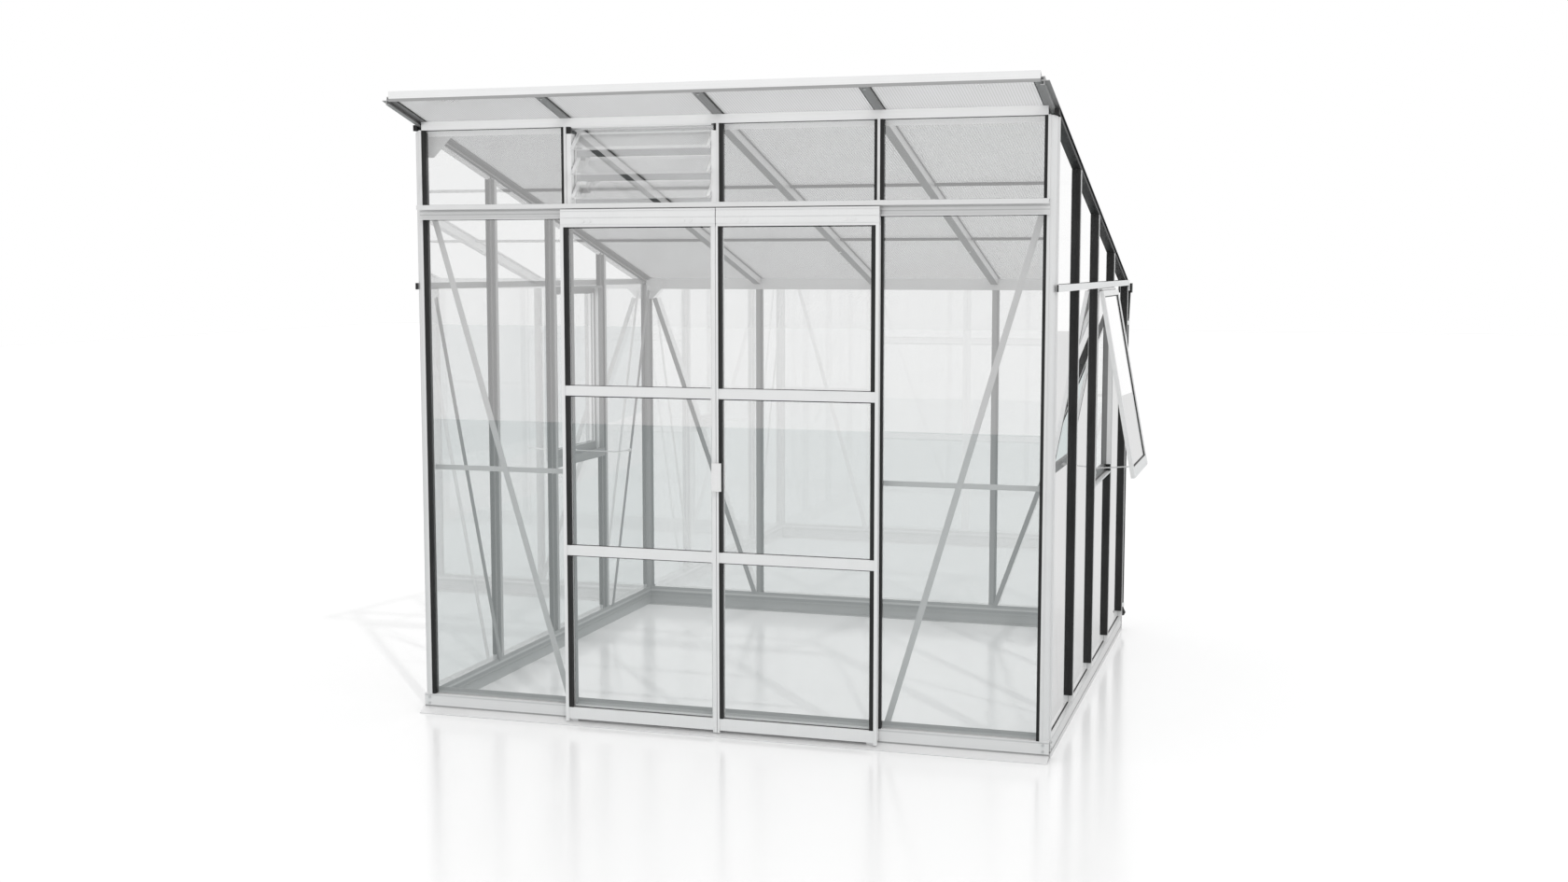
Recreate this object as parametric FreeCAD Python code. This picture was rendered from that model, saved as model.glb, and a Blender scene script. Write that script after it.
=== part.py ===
import FreeCAD, Part
import math
import os

# Walk-in lean-to greenhouse: aluminium frame, glass walls, twin-wall roof.
# Millimetres. The origin is the middle of the footprint at ground level, +Z is up,
# -Y is the door front and +Y is the low rear wall.

# Plan: bays between glazing bars, and the corner offset out to the glass
BAY = 622.0
SIDE_BAY = 601.0
CORNER = 14.0
HALF_X = 2 * BAY
HALF_Y = 2 * SIDE_BAY
GLASS_X = HALF_X + CORNER
GLASS_Y = HALF_Y + CORNER
GLASS = 4.0

# Heights
SILL_TOP = 72.0
SILL_LIP = 92.0
SIDE_STRIP_FOOT = 100.0
BEAM_FOOT = 2340.0
REAR_BEAM_FOOT = 1692.0
RAIL_FOOT = 1714.0
RAIL_TOP = 1740.0

# Sills: foot flange with its anchor holes, inner rib, and the threshold ramp
FOOT_REACH = 1228.0
FOOT_INNER = -66.0
FOOT_THICK = 3.0
RIB_FACE = -33.0
RIB_Z = (40.0, 43.0)
ANCHOR_X = 1150.0
ANCHOR_V = -46.0
ANCHOR_R = 5.5
SILL_GROOVES = (21.0, 65.5)
RAMP_TOP = 18.5
RAMP_EDGE = 64.0

# Roof: a plane through the underside of the sheets, tilted down to the rear
ROOF_SLOPE = math.radians(14.6)
ROOF_Z = 2374.0
ROOF_FRONT = -262.0
ROOF_REAR = 2546.0
SHEET = 10.0
SEAT = 5.0
RAFTER_HALF = 18.0
RAFTER_DEPTH = 35.0
EDGE_DEPTH = 19.0
WALL_DEPTH = 35.0
POST_DEPTH = 37.0
CROSS_BARS = (903.0, 1740.0)
CROSS_BAR_HALF = 9.0
EDGE_INSET = 21.5
SHEET_OVERLAP = 11.5
CAPPING = 3.0

# Sections, as distances outward from the outer face of the glass
INNER_FACE = -26.0
LIP_FACE = -29.0
SILL_FACE = 16.0
NOSE_FACE = 19.5
STRIP_FACE = 17.0
NOSE_HALF = 5.0
STRIP_WIDTH = 13.0
LEDGE_HALF = 16.0
PANE_GAP = 7.0
BRACE_BACK = -36.0
BRACE_WIDTH = 24.0
BRACE_THICK = 3.0

# Corner plates: wall, side, top edge, width and height; the right front corner has none
GUSSETS = (
    ("front", -1, 2330.0, 112.0, 94.0),
    ("rear", -1, 1736.0, 118.0, 100.0),
    ("rear", 1, 1736.0, 118.0, 100.0),
)
GUSSET_EDGE = 1242.0
GUSSET_BACK = BRACE_BACK + 4

# Door track and the guides under the leaves
TRACK_FOOT = 1989.0
TRACK_TOP = 2046.0
TRACK_REACH = 1250.0
TRACK_LIP = 2028.0
LEDGE_TOP = 1992.0
LEDGE_FACE = 37.0
TRANSOM_Z = (1996.0, 2040.0)
GUIDE_X = 607.0
GUIDE_HALF = 18.0

# Doors
DOOR_BACK = 24.0
DOOR_FACE = 50.0
DOOR_WIDTH = 631.5
DOOR_MEET = 1.5
DOOR_FOOT = 15.0
DOOR_BASE = 34.0
DOOR_HEAD = 1986.0
DOOR_NOSE = 13.0
DOOR_STILE = 30.0
MEET_STILE = 24.0
MEET_NOSE = 8.5
DOOR_RAILS = ((678.0, 718.0), (1306.0, 1345.0))
HEAD_PLATE = (1956.0, 2024.0)
HEAD_GROOVES = (1963.0, 1989.0, 2014.0)
HEAD_GROOVE_WIDTH = 3.5
WHEEL_R = 14.0
WHEEL_GAP = 0.3
WHEEL_INSET = 110.0
AXLE_R = 3.0

# Windows: top hung, one in the third bay of each side wall
WINDOW_EDGE = 14.0
WINDOW_PIVOT_V = 26.0
WINDOW_PIVOT_Z = 1706.0
WINDOW_TOP = 1700.5
WINDOW_FOOT = 891.0
WINDOW_BACK = 20.3
WINDOW_FACE = 38.0
WINDOW_OPEN = 10.5
WINDOW_STILE = 26.0
SUBFRAME_FOOT = 862.0
SUBFRAME_HEAD = 1712.0
STAY_Z = 915.0
STAY_PIVOT_V = 13.0
STAY_LENGTH = 285.0
STAY_LAG = 0.55
PIN_R = 2.5

# Louvre: three glass blades in the upper row of the second bay
LOUVRE_LEFT = -BAY + NOSE_HALF + 0.5
LOUVRE_RIGHT = -NOSE_HALF - 0.5
LOUVRE_FOOT = 2046.5
LOUVRE_TOP = 2314.0
CHANNEL = 20.0
CLIP = 3.0
PIVOT_INSET = 11.5
PIVOT_V = -2.0
LINK_PIN_R = 2.5
BLADE_CHORD = 97.0
BLADE_PITCH = 93.0
BLADE_LOW_Z = 2098.0
BLADE_OPEN = 45.0
CRANK = 22.0
PIVOT_R = 4.0
RUN = 0.08

# Rain water: rear gutter and a downpipe at each end
GUTTER_BACK = 20.0
GUTTER_FRONT = 68.0
GUTTER_FOOT = 1688.0
GUTTER_TOP = 1722.0
GUTTER_WALL = 2.0
GUTTER_REACH = 1282.0
OUTLET_WIDTH = 46.0
PIPE_X = 1262.0
PIPE_V = 46.0
PIPE_R = 16.0
PIPE_BORE = 14.0
PIPE_FOOT = 104.0
PIPE_HEAD = 1550.0

V = FreeCAD.Vector
X_AXIS = V(1, 0, 0)
Y_AXIS = V(0, 1, 0)
Z_AXIS = V(0, 0, 1)
SIN = math.sin(ROOF_SLOPE)
COS = math.cos(ROOF_SLOPE)


# ---- places: u runs along a wall, v is outward from its glass, z is up

def place(wall, u, v, z):
    if wall == "front":
        return V(u, -GLASS_Y - v, z)
    if wall == "rear":
        return V(u, GLASS_Y + v, z)
    if wall == "left":
        return V(-GLASS_X - v, u, z)
    return V(GLASS_X + v, u, z)


def roof_place(x, s, n):
    """A point s down the slope from the front glass and n above the sheet's underside."""
    return V(x, -GLASS_Y + s * COS + n * SIN, ROOF_Z - s * SIN + n * COS)


def roof_height(y, n=0.0):
    """Height of the plane n off the sheet's underside, over the line y."""
    return ROOF_Z - math.tan(ROOF_SLOPE) * (y + GLASS_Y) + n / COS


# ---- solids

def prism(points, travel):
    wire = Part.makePolygon(points + [points[0]])
    return Part.Face(wire).extrude(travel)


def slab(wall, u0, u1, v0, v1, z0, z1):
    """A square-edged block on a wall."""
    u0, u1 = sorted((u0, u1))
    corners = [place(wall, u, v, z0) for u, v in ((u0, v0), (u1, v0), (u1, v1), (u0, v1))]
    return prism(corners, V(0, 0, z1 - z0))


def upright(wall, u, section, z0, z1):
    """A vertical extrusion of a (u, v) section, set at u along the wall."""
    return prism([place(wall, u + du, v, z0) for du, v in section], V(0, 0, z1 - z0))


def rail(wall, u0, u1, section):
    """A horizontal extrusion of a (v, z) section along the wall."""
    travel = place(wall, u1, 0, 0) - place(wall, u0, 0, 0)
    return prism([place(wall, u0, v, z) for v, z in section], travel)


def sheet(wall, outline, v0, v1):
    """A flat plate in the wall, from a (u, z) outline."""
    travel = place(wall, 0, v1, 0) - place(wall, 0, v0, 0)
    return prism([place(wall, u, v0, z) for u, z in outline], travel)


def strut(wall, start, end, width, v0, v1):
    """A flat strip laid across the wall between two (u, z) points."""
    du = end[0] - start[0]
    dz = end[1] - start[1]
    length = math.hypot(du, dz)
    nu = -dz / length * width / 2
    nz = du / length * width / 2
    outline = [
        (start[0] + nu, start[1] + nz),
        (end[0] + nu, end[1] + nz),
        (end[0] - nu, end[1] - nz),
        (start[0] - nu, start[1] - nz),
    ]
    return sheet(wall, outline, v0, v1)


def under_roof(shape, n):
    """Trim a wall member along the plane n off the roof sheet's underside."""
    far = 4000.0
    cutter = [V(-far, y, roof_height(y, n)) for y in (-far, far)]
    block = prism(cutter + [V(-far, far, far), V(-far, -far, far)], V(2 * far, 0, 0))
    return shape.cut(block)


def sloped(section, s0, s1):
    """An extrusion of an (x, n) section down the roof."""
    travel = roof_place(0, s1, 0) - roof_place(0, s0, 0)
    return prism([roof_place(x, s0, n) for x, n in section], travel)


def rod(start, end, radius):
    axis = end - start
    return Part.makeCylinder(radius, axis.Length, start, axis)


def hex_bolt(seat, direction, across=10.0, height=4.0):
    """A hexagon head standing on its seat."""
    corner = across / math.sqrt(3)
    head = Part.makeCylinder(across * 0.54, height, seat, direction)
    side = direction.cross(Z_AXIS if abs(direction.z) < 0.9 else X_AXIS)
    side.normalize()
    third = direction.cross(side)
    points = []
    for k in range(6):
        angle = math.radians(60 * k)
        points.append(seat + side * (math.cos(angle) * corner) + third * (math.sin(angle) * corner))
    return head.common(prism(points, direction * height))


def fuse(shapes):
    whole = shapes[0]
    for shape in shapes[1:]:
        whole = whole.fuse(shape)
    return whole.removeSplitter()


def mirrored(shape):
    return shape.mirror(V(0, 0, 0), X_AXIS)


def save(name, shapes):
    shape = shapes[0] if len(shapes) == 1 else Part.makeCompound(shapes)
    shape.exportStep("parts/" + name + ".step")


# ---- sections shared by several parts

BAR_SECTION = [
    (-NOSE_HALF, NOSE_FACE), (NOSE_HALF, NOSE_FACE), (NOSE_HALF, -GLASS), (LEDGE_HALF, -GLASS),
    (LEDGE_HALF, -GLASS - 3), (3, -GLASS - 3), (3, INNER_FACE + 4), (11, INNER_FACE + 4),
    (11, INNER_FACE), (-11, INNER_FACE), (-11, INNER_FACE + 4), (-3, INNER_FACE + 4),
    (-3, -GLASS - 3), (-LEDGE_HALF, -GLASS - 3), (-LEDGE_HALF, -GLASS), (-NOSE_HALF, -GLASS),
]


def strip_section(side, foot=0.0, face=STRIP_FACE):
    """A glazing strip beside a nose: side is +1 or -1 along the wall, with its outer edge eased."""
    near = side * NOSE_HALF
    far = side * (NOSE_HALF + STRIP_WIDTH)
    ease = side * 2.0
    return [
        (near, foot), (far, foot), (far, face - 4),
        (far - ease / 2, face - 1.5), (far - ease * 2, face), (near, face),
    ]


# ---- base

def sill_section():
    """An inverted channel, open at the ground, with two fine grooves along its outer face."""
    face = [(SILL_FACE, 0)]
    for z in SILL_GROOVES:
        face += [(SILL_FACE, z), (SILL_FACE - 1.5, z), (SILL_FACE - 1.5, z + 2.5), (SILL_FACE, z + 2.5)]
    return face + [
        (SILL_FACE, SILL_TOP), (LIP_FACE, SILL_TOP), (LIP_FACE, 0),
        (INNER_FACE, 0), (INNER_FACE, SILL_TOP - 3), (SILL_FACE - 3, SILL_TOP - 3), (SILL_FACE - 3, 0),
    ]


def sill(wall, reach, trim_reach, rib_reach):
    """A sill with the glazing lip on top and a stiffening rib along its inner face."""
    body = rail(wall, -reach, reach, sill_section())
    lip = slab(wall, -trim_reach, trim_reach, LIP_FACE, INNER_FACE, SILL_TOP, SILL_LIP)
    rib = slab(wall, -rib_reach, rib_reach, RIB_FACE, LIP_FACE, RIB_Z[0], RIB_Z[1])
    return fuse([body, lip, rib])


def foot_flange(wall):
    """The flange inside an end sill, holed for the ground anchors."""
    flange = slab(wall, -FOOT_REACH, FOOT_REACH, FOOT_INNER, LIP_FACE, 0, FOOT_THICK)
    for side in (-1, 1):
        centre = place(wall, side * ANCHOR_X, ANCHOR_V, -1)
        flange = flange.cut(Part.makeCylinder(ANCHOR_R, FOOT_THICK + 2, centre, Z_AXIS))
    return flange


def base():
    reach = GLASS_X + SILL_FACE
    for wall in ("front", "rear"):
        save(wall + "_sill", [sill(wall, reach, FOOT_REACH, FOOT_REACH), foot_flange(wall)])
    inner = GLASS_Y + LIP_FACE
    save("side_sills", [sill(wall, inner, inner, inner - 5) for wall in ("left", "right")])
    ramp = [
        (SILL_FACE, RAMP_TOP), (RAMP_EDGE, 3), (RAMP_EDGE, 0),
        (RAMP_EDGE - 5, 0), (SILL_FACE, RAMP_TOP - 3),
    ]
    fall = (RAMP_TOP - 3) / (RAMP_EDGE - SILL_FACE)
    tongue = [
        (28, RAMP_TOP - 12 * fall), (32, RAMP_TOP - 16 * fall),
        (32, DOOR_BASE - 4), (28, DOOR_BASE - 4),
    ]
    pieces = [rail("front", -reach, reach, ramp)]
    for side in (-1, 1):
        middle = side * GUIDE_X
        pieces.append(rail("front", middle - GUIDE_HALF, middle + GUIDE_HALF, tongue))
    save("threshold_ramp", pieces)


# ---- corner posts and glazing bars

def post_section():
    """A round-cornered hollow post in the (a, b) plan of one corner, both outward from the bay lines."""
    radius = 25.0
    centre = 3.0
    start = math.acos((NOSE_HALF - centre) / radius)
    end = math.asin((NOSE_HALF - centre) / radius)
    steps = 8
    arc = []
    for k in range(steps + 1):
        angle = start + (end - start) * k / steps
        arc.append((centre + radius * math.cos(angle), centre + radius * math.sin(angle)))
    nose = CORNER + NOSE_FACE
    ledge = CORNER - GLASS
    inner = CORNER + INNER_FACE
    outline = [(-NOSE_HALF, nose), (NOSE_HALF, nose)] + arc + [
        (nose, NOSE_HALF), (nose, -NOSE_HALF), (ledge, -NOSE_HALF), (ledge, -LEDGE_HALF),
        (ledge - 3, -LEDGE_HALF), (ledge - 3, inner), (inner, inner), (inner, ledge - 3),
        (-LEDGE_HALF, ledge - 3), (-LEDGE_HALF, ledge), (-NOSE_HALF, ledge),
    ]
    hollow = [(-3, -3), (16, -3), (16, 16), (-3, 16)]
    return outline, hollow


def corner_post(side_x, side_y):
    outline, hollow = post_section()
    solids = []
    for ring in (outline, hollow):
        points = [V(side_x * (HALF_X + a), side_y * (HALF_Y + b), SILL_TOP) for a, b in ring]
        solids.append(prism(points, V(0, 0, ROOF_Z - SILL_TOP)))
    return under_roof(solids[0].cut(solids[1]), -POST_DEPTH)


def frame():
    save("corner_posts", [corner_post(side_x, side_y) for side_x in (-1, 1) for side_y in (-1, 1)])

    front = [upright("front", u, BAR_SECTION, SILL_TOP, BEAM_FOOT) for u in (-BAY, BAY)]
    front.append(upright("front", 0, BAR_SECTION, TRACK_FOOT, BEAM_FOOT))
    save("front_bars", front)
    save("rear_bars", [upright("rear", u, BAR_SECTION, SILL_TOP, REAR_BEAM_FOOT) for u in (-BAY, 0, BAY)])
    side = []
    for wall in ("left", "right"):
        for u in (-SIDE_BAY, 0, SIDE_BAY):
            side.append(under_roof(upright(wall, u, BAR_SECTION, SILL_TOP, ROOF_Z), -WALL_DEPTH))
    save("side_bars", side)


# ---- beams, door track and side rails

def beam_section(wall_y, sign, foot, lip):
    """A beam in (v, z) whose top lies along the rafters' seat."""
    def top(v):
        return roof_height(wall_y + sign * v, -SEAT)
    return [
        (SILL_FACE, foot), (SILL_FACE, top(SILL_FACE)), (LIP_FACE, top(LIP_FACE)),
        (LIP_FACE, foot - lip), (INNER_FACE, foot - lip), (INNER_FACE, foot),
    ]


def beams():
    reach = HALF_X - NOSE_HALF
    front = rail("front", -reach, reach, beam_section(-GLASS_Y, -1, BEAM_FOOT, 22.0))
    lip = (LIP_FACE - 1, INNER_FACE + 1, BEAM_FOOT - 30, BEAM_FOOT - 10)
    blade_swing = slab("front", LOUVRE_LEFT + 2, LOUVRE_RIGHT - 2, *lip)
    save("front_eaves_beam", [front.cut(blade_swing)])
    rear_reach = HALF_X - LEDGE_HALF
    rear = rail("rear", -rear_reach, rear_reach, beam_section(GLASS_Y, 1, REAR_BEAM_FOOT, 4.0))
    save("rear_eaves_beam", [rear])

    back = NOSE_FACE
    plate = back + 3
    save("door_track", [
        slab("front", -TRACK_REACH, TRACK_REACH, back, plate, TRACK_FOOT, TRACK_TOP),
        slab("front", -TRACK_REACH, TRACK_REACH, plate, LEDGE_FACE, TRACK_FOOT, LEDGE_TOP),
        slab("front", -TRACK_REACH, TRACK_REACH, plate, DOOR_FACE, TRACK_TOP - 3, TRACK_TOP),
        slab("front", -TRACK_REACH, TRACK_REACH, DOOR_FACE - 3, DOOR_FACE, TRACK_LIP, TRACK_TOP - 3),
    ])

    low, high = TRANSOM_Z
    transom = [(-GLASS - 0.5, low), (-GLASS - 0.5, high), (-22, high), (-22, low)]
    pieces = []
    for k in range(4):
        left = -HALF_X + k * BAY + LEDGE_HALF + 0.5
        right = left + BAY - 2 * LEDGE_HALF - 1
        pieces.append(rail("front", left, right, transom))
    save("front_transom", pieces)

    rails = []
    for wall in ("left", "right"):
        rails.append(slab(wall, -GLASS_Y, GLASS_Y + 9, NOSE_FACE, NOSE_FACE + 4, RAIL_FOOT, RAIL_TOP))
    save("side_rails", rails)


# ---- roof

def inner_rafter(x):
    """A box rafter between the beams, notched to a shallow seat over them and out to both eaves."""
    seat = [
        (x - 17, -SEAT), (x + 17, -SEAT), (x + 17, 0), (x + 2, 0),
        (x + 2, SHEET), (x - 2, SHEET), (x - 2, 0), (x - 17, 0),
    ]
    deep = [
        (x - RAFTER_HALF, -RAFTER_DEPTH), (x + RAFTER_HALF, -RAFTER_DEPTH),
        (x + RAFTER_HALF, -SEAT), (x - RAFTER_HALF, -SEAT),
    ]
    start = (-LIP_FACE + 12) / COS
    end = (2 * GLASS_Y + LIP_FACE - 4) / COS
    return fuse([sloped(seat, ROOF_FRONT + 6, ROOF_REAR), sloped(deep, start, end)])


def edge_rafter():
    """The right-hand channel rafter, open towards the inside, with a drip flange outside."""
    x = HALF_X
    top = [
        (x - 21, 0), (x - 21, -4), (x + 32, -4), (x + 32, -1.5),
        (x + 15, -1.5), (x + 15, SHEET + 3), (x + 12, SHEET + 3), (x + 12, 0),
    ]
    web = [
        (x, -EDGE_DEPTH), (x + 15, -EDGE_DEPTH), (x + 15, -4), (x + 12, -4),
        (x + 12, -EDGE_DEPTH + 3), (x, -EDGE_DEPTH + 3),
    ]
    return fuse([sloped(top, ROOF_FRONT + 6, ROOF_REAR), sloped(web, ROOF_FRONT + 6, ROOF_REAR - 15)])


def roof():
    save("inner_rafters", [inner_rafter(x) for x in (-BAY, 0, BAY)])
    right = edge_rafter()
    save("edge_rafters", [mirrored(right), right])

    sheets = []
    for k in range(4):
        left = -HALF_X + k * BAY + 2.5
        right = left + BAY - 5
        if k == 0:
            left = -HALF_X - SHEET_OVERLAP
        if k == 3:
            right = HALF_X + SHEET_OVERLAP
        outline = [(left, 0), (right, 0), (right, SHEET), (left, SHEET)]
        sheets.append(sloped(outline, ROOF_FRONT + 3, ROOF_REAR))
    save("roof_sheets", sheets)

    bars = []
    for s in CROSS_BARS:
        for k in range(4):
            left = -HALF_X + k * BAY + (EDGE_INSET if k == 0 else RAFTER_HALF + 0.5)
            right = -HALF_X + (k + 1) * BAY - (EDGE_INSET if k == 3 else RAFTER_HALF + 0.5)
            outline = [(left, -CROSS_BAR_HALF), (right, -CROSS_BAR_HALF), (right, 0), (left, 0)]
            bars.append(sloped(outline, s - CROSS_BAR_HALF, s + CROSS_BAR_HALF))
    save("roof_cross_bars", bars)

    caps = []
    top = SHEET + CAPPING
    for x in (-BAY, 0, BAY):
        outline = [(x - 20, SHEET), (x + 20, SHEET), (x + 17, top), (x - 17, top)]
        caps.append(sloped(outline, ROOF_FRONT + 3, ROOF_REAR))
    for side in (-1, 1):
        inner_edge = side * (HALF_X - 14)
        outer_edge = side * (HALF_X + SHEET_OVERLAP)
        outline = [(inner_edge, SHEET), (outer_edge, SHEET), (outer_edge, top), (inner_edge, top)]
        caps.append(sloped(outline, ROOF_FRONT + 3, ROOF_REAR))
    save("roof_cappings", caps)

    reach = HALF_X + 2
    front = roof_place(0, ROOF_FRONT, 0)
    channel = [
        (0, -9), (-6, -9), (-6, -7), (-2.4, -7), (-2.4, 27.6),
        (-30, 10), (-31, 11.8), (-1, 30), (0, 30),
    ]
    points = [V(-reach, front.y - 3 - dy, front.z + dz) for dy, dz in channel]
    save("roof_fascia", [prism(points, V(2 * reach, 0, 0))])


# ---- glass

def pane(wall, u0, u1, z0, z1):
    return slab(wall, u0 + PANE_GAP, u1 - PANE_GAP, -GLASS, 0, z0, z1)


def sloped_pane(wall, u0, u1, z0):
    left = u0 + PANE_GAP
    right = u1 - PANE_GAP
    outline = [
        (left, z0), (right, z0),
        (right, roof_height(right, -EDGE_DEPTH) - 3), (left, roof_height(left, -EDGE_DEPTH) - 3),
    ]
    return sheet(wall, outline, -GLASS, 0)


def glazing():
    bay_lines = [-HALF_X + k * BAY for k in range(5)]
    side_lines = [-HALF_Y + k * SIDE_BAY for k in range(5)]
    panes = [pane("front", bay_lines[k], bay_lines[k + 1], 2018, BEAM_FOOT - 1) for k in (0, 2, 3)]
    panes += [pane("front", bay_lines[k], bay_lines[k + 1], SILL_TOP + 1, 2016) for k in (0, 3)]
    save("front_glass", panes)
    rear = [pane("rear", bay_lines[k], bay_lines[k + 1], SILL_TOP + 1, REAR_BEAM_FOOT - 1) for k in range(4)]
    save("rear_glass", rear)
    side = []
    for wall in ("left", "right"):
        for k in (0, 1, 3):
            side.append(sloped_pane(wall, side_lines[k], side_lines[k + 1], SILL_TOP + 1))
        side.append(pane(wall, side_lines[2], side_lines[3], SILL_TOP + 1, SUBFRAME_FOOT - 1))
        side.append(sloped_pane(wall, side_lines[2], side_lines[3], SUBFRAME_HEAD + 1))
    save("side_glass", side)


# ---- black glazing strips

def strip_places(end, bay):
    """Where a wall of four bays has strips: (place along it, side of the nose)."""
    return [(-end, 1), (end, -1)] + [(u, side) for u in (-bay, 0, bay) for side in (-1, 1)]


def strips():
    front = []
    low = [(-HALF_X, 1), (-BAY, -1), (BAY, 1), (HALF_X, -1)]
    high = low + [(0, 1)]
    for u, side in low:
        front.append(upright("front", u, strip_section(side), SILL_TOP, TRACK_FOOT + 1))
    for u, side in high:
        front.append(upright("front", u, strip_section(side), TRACK_TOP, BEAM_FOOT))
    front.append(upright("front", BAY, strip_section(-1), TRACK_TOP, BEAM_FOOT))
    for u, side in ((-BAY, 1), (0, -1)):
        front.append(upright("front", u, strip_section(side), LOUVRE_TOP, BEAM_FOOT))
    save("front_cap_strips", front)

    others = []
    for u, side in strip_places(HALF_X, BAY):
        others.append(upright("rear", u, strip_section(side), SILL_TOP, REAR_BEAM_FOOT))
    for wall in ("left", "right"):
        for u, side in strip_places(HALF_Y, SIDE_BAY):
            strip = upright(wall, u, strip_section(side), SIDE_STRIP_FOOT, ROOF_Z)
            others.append(under_roof(strip, -WALL_DEPTH))
    save("wall_cap_strips", others)

    verge = []
    for wall in ("left", "right"):
        u0 = -HALF_Y + 8
        u1 = GLASS_Y
        outline = [
            (u0, roof_height(u0, -WALL_DEPTH)), (u1, roof_height(u1, -WALL_DEPTH)),
            (u1, roof_height(u1, -EDGE_DEPTH - 1)), (u0, roof_height(u0, -EDGE_DEPTH - 1)),
        ]
        verge.append(sheet(wall, outline, 0, STRIP_FACE))
        cap = slab(wall, -GLASS_Y - 14, u0, 1.5, STRIP_FACE + 1, BEAM_FOOT - 1, ROOF_Z)
        verge.append(under_roof(cap, -EDGE_DEPTH + 4))
    save("verge_strips", verge)


# ---- bracing

def bracing():
    braces = []
    brace_face = BRACE_BACK + BRACE_THICK
    for side in (-1, 1):
        top = (side * 1222, 2020)
        foot = (side * 652, 78)
        braces.append(strut("front", top, foot, BRACE_WIDTH, BRACE_BACK, brace_face))
        braces.append(slab("front", side * 632, side * 1234, BRACE_BACK - BRACE_THICK, BRACE_BACK, 988, 1008))
        top = (side * 1196, 1640)
        foot = (side * 640, 84)
        braces.append(strut("rear", top, foot, BRACE_WIDTH, BRACE_BACK, brace_face))
    for wall in ("left", "right"):
        for side in (-1, 1):
            ends = ((side * 1168, 1680), (side * 638, 84))
            braces.append(strut(wall, ends[0], ends[1], BRACE_WIDTH, BRACE_BACK, brace_face))
    save("wall_braces", braces)

    plates = []
    for wall, side, top, width, height in GUSSETS:
        corner = side * GUSSET_EDGE
        outline = [
            (corner, top), (corner - side * width, top), (corner - side * width, top - 12),
            (corner - side * 32, top - height), (corner, top - height),
        ]
        plates.append(sheet(wall, outline, GUSSET_BACK, LIP_FACE))
    save("corner_gussets", plates)


# ---- rain water

def gutter_walls():
    """The trough's back, front and floor; the outlets close its two ends."""
    floor_reach = GUTTER_REACH - OUTLET_WIDTH
    inside = (GUTTER_BACK + GUTTER_WALL, GUTTER_FRONT - GUTTER_WALL)
    floor_z = (GUTTER_FOOT, GUTTER_FOOT + GUTTER_WALL)
    walls = [slab("rear", -floor_reach, floor_reach, *inside, *floor_z)]
    for v0, v1 in ((GUTTER_BACK, inside[0]), (inside[1], GUTTER_FRONT)):
        walls.append(slab("rear", -GUTTER_REACH, GUTTER_REACH, v0, v1, GUTTER_FOOT, GUTTER_TOP))
    return walls


def rain_water():
    outlets = []
    pipes = []
    brackets = []
    for side in (-1, 1):
        end = side * GUTTER_REACH
        centre = place("rear", side * PIPE_X, PIPE_V, 0)
        bore = Part.makeCylinder(PIPE_BORE, GUTTER_TOP, centre, Z_AXIS)
        face = GUTTER_FRONT + 1
        low = GUTTER_FOOT - 10
        cap = slab("rear", end, end + side * 8, GUTTER_BACK, face, low, GUTTER_TOP + 2)
        under = slab("rear", end - side * OUTLET_WIDTH, end, GUTTER_BACK, face, low, GUTTER_FOOT)
        inside = (GUTTER_BACK + GUTTER_WALL, GUTTER_FRONT - GUTTER_WALL)
        raised = slab("rear", end - side * OUTLET_WIDTH, end, *inside, GUTTER_FOOT, GUTTER_FOOT + GUTTER_WALL)
        taper = Part.makeCone(PIPE_R + 1, 22, low - PIPE_HEAD, centre + Z_AXIS * PIPE_HEAD, Z_AXIS)
        outlets.append(fuse([cap, under, raised, taper]).cut(bore))
        tube = Part.makeCylinder(PIPE_R, PIPE_HEAD - PIPE_FOOT, centre + Z_AXIS * PIPE_FOOT, Z_AXIS)
        collar_low = Part.makeCone(20, 27, 14, centre + Z_AXIS * (PIPE_FOOT - 38), Z_AXIS)
        collar_high = Part.makeCone(27, PIPE_R, 24, centre + Z_AXIS * (PIPE_FOOT - 24), Z_AXIS)
        pipes.append(fuse([tube, collar_low, collar_high]).cut(bore))
        for height in (PIPE_FOOT + 6, PIPE_HEAD - 30):
            ring = Part.makeCylinder(PIPE_R + 3, 20, centre + Z_AXIS * height, Z_AXIS)
            arm = slab("rear", side * (HALF_X - 4), side * PIPE_X, NOSE_FACE, PIPE_V, height, height + 20)
            hole = Part.makeCylinder(PIPE_R, 40, centre + Z_AXIS * (height - 10), Z_AXIS)
            brackets.append(fuse([ring, arm]).cut(hole))
    save("rear_gutter", gutter_walls())
    save("gutter_outlets", outlets)
    save("downpipes", pipes)
    save("pipe_brackets", brackets)


# ---- bolts

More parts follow.
